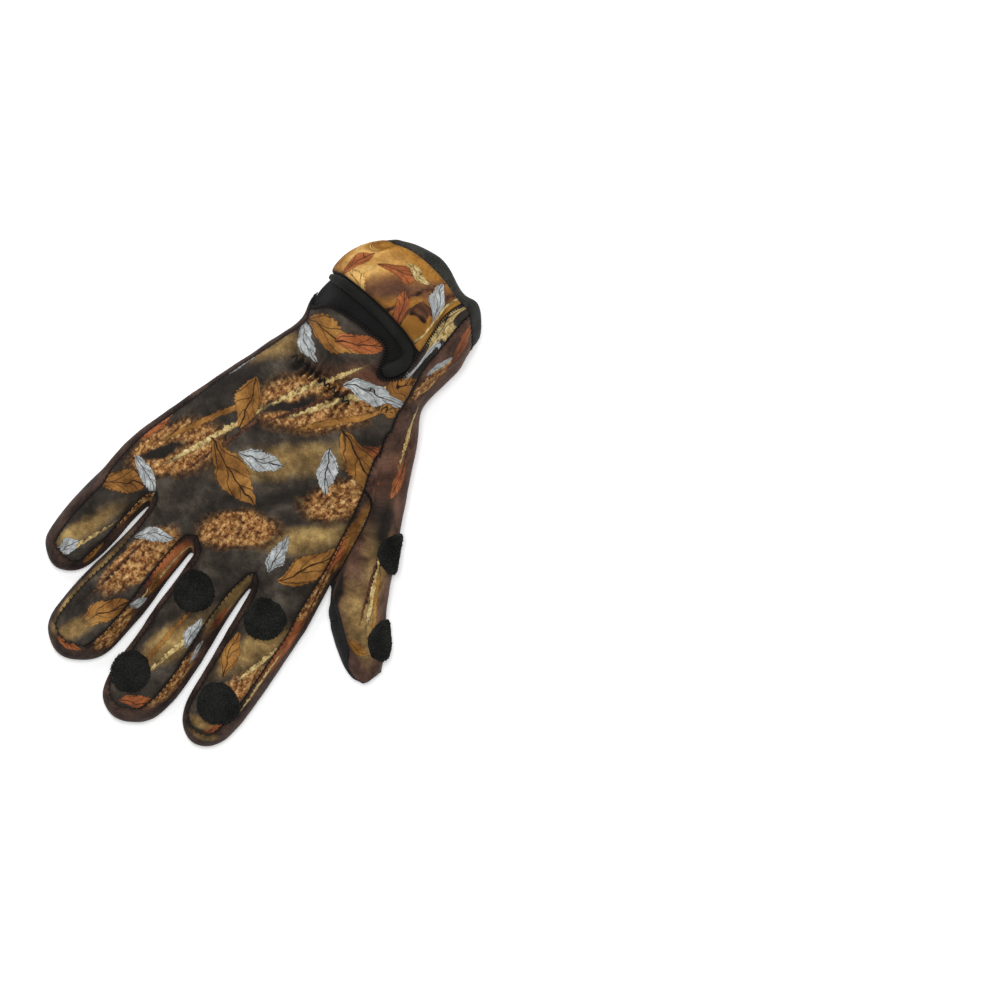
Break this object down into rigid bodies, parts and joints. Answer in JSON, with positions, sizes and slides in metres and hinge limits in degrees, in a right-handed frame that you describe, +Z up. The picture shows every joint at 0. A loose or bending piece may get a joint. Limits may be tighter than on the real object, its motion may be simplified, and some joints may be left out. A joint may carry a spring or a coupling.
{
  "type": "fishing glove",
  "caption": "Neoprene fishing glove in woodland camouflage with a black palm, fold-back fingertips held by hook-and-loop discs, and a wrist strap, lying palm down.",
  "frame": {"origin": "on the table, under the middle of the glove's bounding box", "axes": "+Z up, out of the back of the hand; the fingers point to -Y and the cuff to +Y; the thumb is on the +X side"},
  "size_m": [0.1526, 0.2454, 0.0448],
  "materials": {
    "camo_cloth": "matt printed jersey on neoprene",
    "palm_cloth": "matt black neoprene",
    "loop_cloth": "black brushed loop pile"
  },
  "bodies": {
    "root": {"back_panel": "camo_cloth", "palm_panel": "palm_cloth", "side_strip_pinky": "camo_cloth", "side_strip_ring": "camo_cloth", "side_strip_middle": "camo_cloth", "side_strip_index": "camo_cloth", "thumb_back": "camo_cloth", "thumb_palm": "palm_cloth", "palm_tip_middle": "palm_cloth", "palm_tip_index": "palm_cloth", "palm_tip_thumb": "palm_cloth", "cuff_underlap": "loop_cloth", "cuff_hem": "palm_cloth", "wrist_strap": "camo_cloth", "slit_binding": "palm_cloth", "dot_middle_base": "loop_cloth", "dot_middle_tip": "loop_cloth", "dot_index_base": "loop_cloth", "dot_index_tip": "loop_cloth", "dot_thumb_base": "loop_cloth", "dot_thumb_tip": "loop_cloth"}
  },
  "joints": []
}
